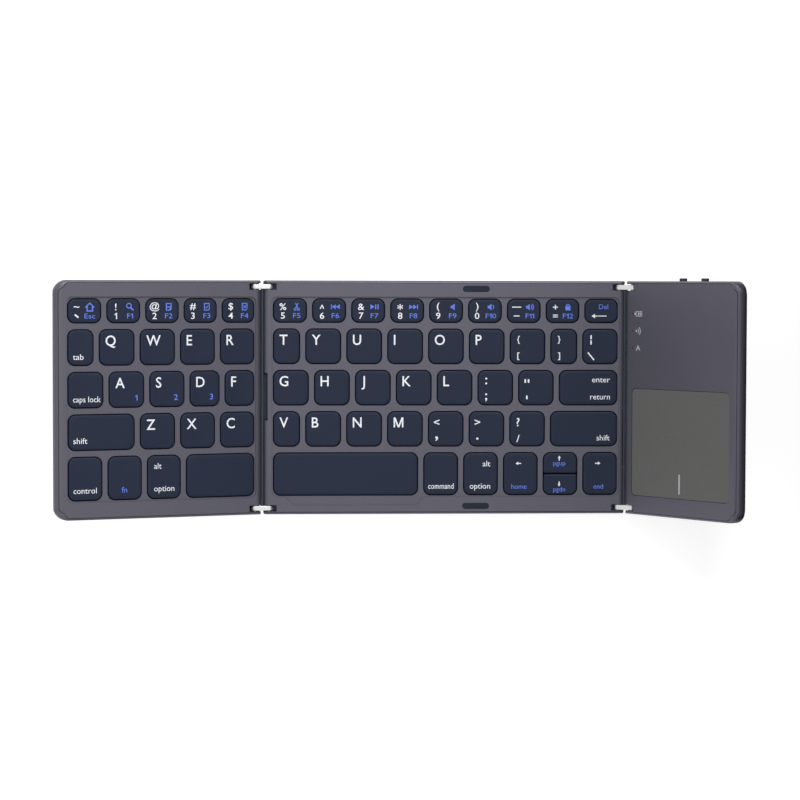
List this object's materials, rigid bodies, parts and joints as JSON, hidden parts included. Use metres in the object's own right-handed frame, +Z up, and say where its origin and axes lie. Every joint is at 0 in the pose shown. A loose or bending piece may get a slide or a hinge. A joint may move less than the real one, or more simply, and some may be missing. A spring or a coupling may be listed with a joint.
{
  "type": "folding keyboard",
  "caption": "Pocket keyboard whose keyed side panel and touchpad panel fold in over the middle panel on double-axis link hinges.",
  "frame": {"origin": "on the table top, under the middle of the middle panel; the middle panel stands on it with five rubber feet of 0.6 mm", "axes": "+X to the right along the row of three panels, +Y from the space bars to the number row, +Z up out of the keys"},
  "size_m": [0.2801, 0.0992, 0.0558],
  "materials": {
    "gunmetal_shell": "satin metallic gunmetal paint on moulded plastic",
    "key_plastic": "fine matt blue-black key plastic",
    "touch_sheet": "matt grey touch sheet",
    "pad_plastic": "smooth dark plastic",
    "ribbon_film": "smooth dark polymer film",
    "dark_plastic": "black moulded plastic",
    "foot_rubber": "black rubber",
    "dome_rubber": "translucent white silicone",
    "scissor_plastic": "white acetal",
    "membrane_film": "polyester film",
    "bar_metal": "bright satin steel",
    "steel": "plain steel",
    "plate_alloy": "plain aluminium sheet",
    "battery_foil": "laminated foil pouch",
    "board_laminate": "green solder mask",
    "light_pipe": "clear moulded light pipe"
  },
  "bodies": {
    "middle_panel": {"middle_bottom_shell": "gunmetal_shell", "middle_top_frame": "gunmetal_shell", "middle_switch_plate": "plate_alloy", "middle_membrane": "membrane_film", "middle_domes": "dome_rubber", "middle_key_scissors": "scissor_plastic", "middle_feet": "foot_rubber", "middle_screws": "steel", "magnet_pads": "pad_plastic", "left_ribbon_cable": "ribbon_film", "right_ribbon_cable": "ribbon_film"},
    "left_link": {"left_hinge_bars": "bar_metal", "left_hinge_pins": "steel", "left_hinge_spine": "dark_plastic"},
    "left_panel": {"left_bottom_shell": "gunmetal_shell", "left_top_frame": "gunmetal_shell", "left_switch_plate": "plate_alloy", "left_membrane": "membrane_film", "left_domes": "dome_rubber", "left_key_scissors": "scissor_plastic", "left_feet": "foot_rubber", "left_screws": "steel", "left_magnets": "steel"},
    "right_link": {"right_hinge_bars": "bar_metal", "right_hinge_pins": "steel", "right_hinge_spine": "dark_plastic"},
    "right_panel": {"right_bottom_shell": "gunmetal_shell", "right_top_cover": "gunmetal_shell", "switch_bodies": "dark_plastic", "battery": "battery_foil", "main_board": "board_laminate", "charging_socket": "steel", "indicator_light_pipes": "light_pipe", "right_feet": "foot_rubber", "right_screws": "steel", "right_magnets": "steel"},
    "touchpad": {"touchpad": "touch_sheet"},
    "power_slider": {"power_slider": "dark_plastic"},
    "mode_slider": {"mode_slider": "dark_plastic"},
    "number_keys": {"number_keys": "key_plastic"},
    "backspace_key": {"backspace_key": "key_plastic"},
    "upper_letter_keys": {"upper_letter_keys": "key_plastic"},
    "home_letter_keys": {"home_letter_keys": "key_plastic"},
    "enter_key": {"enter_key": "key_plastic"},
    "lower_letter_keys": {"lower_letter_keys": "key_plastic"},
    "right_shift_key": {"right_shift_key": "key_plastic"},
    "right_space_key": {"right_space_key": "key_plastic"},
    "right_modifier_keys": {"right_modifier_keys": "key_plastic"},
    "side_arrow_keys": {"side_arrow_keys": "key_plastic"},
    "up_arrow_key": {"up_arrow_key": "key_plastic"},
    "down_arrow_key": {"down_arrow_key": "key_plastic"},
    "left_number_keys": {"left_number_keys": "key_plastic"},
    "tab_key": {"tab_key": "key_plastic"},
    "left_upper_keys": {"left_upper_keys": "key_plastic"},
    "caps_key": {"caps_key": "key_plastic"},
    "left_home_keys": {"left_home_keys": "key_plastic"},
    "left_shift_key": {"left_shift_key": "key_plastic"},
    "left_lower_keys": {"left_lower_keys": "key_plastic"},
    "left_modifier_keys": {"left_modifier_keys": "key_plastic"},
    "left_space_key": {"left_space_key": "key_plastic"}
  },
  "joints": [
    {"name": "left_link_turn", "type": "hinge", "parent": "middle_panel", "child": "left_link", "pos_m": [-0.07365, 0, 0.0052], "axis": [0, 1, 0], "range_deg": [-9, 81]},
    {"name": "left_fold", "type": "hinge", "parent": "left_link", "child": "left_panel", "pos_m": [-0.07948, 0, 0.00612], "axis": [0, 1, 0], "range_deg": [-9, 81]},
    {"name": "right_link_turn", "type": "hinge", "parent": "middle_panel", "child": "right_link", "pos_m": [0.07365, 0, 0.0052], "axis": [0, -1, 0], "range_deg": [-25.75, 64.25]},
    {"name": "right_fold", "type": "hinge", "parent": "right_link", "child": "right_panel", "pos_m": [0.07896, 0, 0.00776], "axis": [0, -1, 0], "range_deg": [-25.75, 64.25]},
    {"name": "number_keys_press", "type": "slide", "parent": "middle_panel", "child": "number_keys", "axis": [0, 0, -1], "range_m": [0, 0.0015], "stiffness_N_per_m": 360, "springref_m": -0.0005, "deforming": ["middle_domes", "middle_key_scissors"]},
    {"name": "backspace_key_press", "type": "slide", "parent": "middle_panel", "child": "backspace_key", "axis": [0, 0, -1], "range_m": [0, 0.0015], "stiffness_N_per_m": 360, "springref_m": -0.0005},
    {"name": "upper_letter_keys_press", "type": "slide", "parent": "middle_panel", "child": "upper_letter_keys", "axis": [0, 0, -1], "range_m": [0, 0.0015], "stiffness_N_per_m": 360, "springref_m": -0.0005},
    {"name": "home_letter_keys_press", "type": "slide", "parent": "middle_panel", "child": "home_letter_keys", "axis": [0, 0, -1], "range_m": [0, 0.0015], "stiffness_N_per_m": 360, "springref_m": -0.0005},
    {"name": "enter_key_press", "type": "slide", "parent": "middle_panel", "child": "enter_key", "axis": [0, 0, -1], "range_m": [0, 0.0015], "stiffness_N_per_m": 360, "springref_m": -0.0005},
    {"name": "lower_letter_keys_press", "type": "slide", "parent": "middle_panel", "child": "lower_letter_keys", "axis": [0, 0, -1], "range_m": [0, 0.0015], "stiffness_N_per_m": 360, "springref_m": -0.0005},
    {"name": "right_shift_key_press", "type": "slide", "parent": "middle_panel", "child": "right_shift_key", "axis": [0, 0, -1], "range_m": [0, 0.0015], "stiffness_N_per_m": 360, "springref_m": -0.0005},
    {"name": "right_space_key_press", "type": "slide", "parent": "middle_panel", "child": "right_space_key", "axis": [0, 0, -1], "range_m": [0, 0.0015], "stiffness_N_per_m": 360, "springref_m": -0.0005},
    {"name": "right_modifier_keys_press", "type": "slide", "parent": "middle_panel", "child": "right_modifier_keys", "axis": [0, 0, -1], "range_m": [0, 0.0015], "stiffness_N_per_m": 360, "springref_m": -0.0005},
    {"name": "side_arrow_keys_press", "type": "slide", "parent": "middle_panel", "child": "side_arrow_keys", "axis": [0, 0, -1], "range_m": [0, 0.0015], "stiffness_N_per_m": 360, "springref_m": -0.0005},
    {"name": "up_arrow_key_press", "type": "slide", "parent": "middle_panel", "child": "up_arrow_key", "axis": [0, 0, -1], "range_m": [0, 0.0015], "stiffness_N_per_m": 360, "springref_m": -0.0005},
    {"name": "down_arrow_key_press", "type": "slide", "parent": "middle_panel", "child": "down_arrow_key", "axis": [0, 0, -1], "range_m": [0, 0.0015], "stiffness_N_per_m": 360, "springref_m": -0.0005},
    {"name": "left_number_keys_press", "type": "slide", "parent": "left_panel", "child": "left_number_keys", "axis": [-0.309, 0, -0.9511], "range_m": [0, 0.0015], "stiffness_N_per_m": 360, "springref_m": -0.0005, "deforming": ["left_domes", "left_key_scissors"]},
    {"name": "tab_key_press", "type": "slide", "parent": "left_panel", "child": "tab_key", "axis": [-0.309, 0, -0.9511], "range_m": [0, 0.0015], "stiffness_N_per_m": 360, "springref_m": -0.0005},
    {"name": "left_upper_keys_press", "type": "slide", "parent": "left_panel", "child": "left_upper_keys", "axis": [-0.309, 0, -0.9511], "range_m": [0, 0.0015], "stiffness_N_per_m": 360, "springref_m": -0.0005},
    {"name": "caps_key_press", "type": "slide", "parent": "left_panel", "child": "caps_key", "axis": [-0.309, 0, -0.9511], "range_m": [0, 0.0015], "stiffness_N_per_m": 360, "springref_m": -0.0005},
    {"name": "left_home_keys_press", "type": "slide", "parent": "left_panel", "child": "left_home_keys", "axis": [-0.309, 0, -0.9511], "range_m": [0, 0.0015], "stiffness_N_per_m": 360, "springref_m": -0.0005},
    {"name": "left_shift_key_press", "type": "slide", "parent": "left_panel", "child": "left_shift_key", "axis": [-0.309, 0, -0.9511], "range_m": [0, 0.0015], "stiffness_N_per_m": 360, "springref_m": -0.0005},
    {"name": "left_lower_keys_press", "type": "slide", "parent": "left_panel", "child": "left_lower_keys", "axis": [-0.309, 0, -0.9511], "range_m": [0, 0.0015], "stiffness_N_per_m": 360, "springref_m": -0.0005},
    {"name": "left_modifier_keys_press", "type": "slide", "parent": "left_panel", "child": "left_modifier_keys", "axis": [-0.309, 0, -0.9511], "range_m": [0, 0.0015], "stiffness_N_per_m": 360, "springref_m": -0.0005},
    {"name": "left_space_key_press", "type": "slide", "parent": "left_panel", "child": "left_space_key", "axis": [-0.309, 0, -0.9511], "range_m": [0, 0.0015], "stiffness_N_per_m": 360, "springref_m": -0.0005},
    {"name": "touchpad_click", "type": "hinge", "parent": "right_panel", "child": "touchpad", "pos_m": [0.09628, 0.00477, 0.03098], "axis": [0.6225, 0, 0.7826], "range_deg": [0, 0.4], "stiffness_Nm_per_rad": 2, "springref_deg": -0.57},
    {"name": "power_slider_slide", "type": "slide", "parent": "right_panel", "child": "power_slider", "axis": [0.6225, 0, 0.7826], "range_m": [0, 0.002]},
    {"name": "mode_slider_slide", "type": "slide", "parent": "right_panel", "child": "mode_slider", "axis": [0.6225, 0, 0.7826], "range_m": [0, 0.002]}
  ],
  "couplings": [
    {"joint": "left_link_turn", "follows": "left_fold", "ratio": 1},
    {"joint": "right_link_turn", "follows": "right_fold", "ratio": 1}
  ]
}
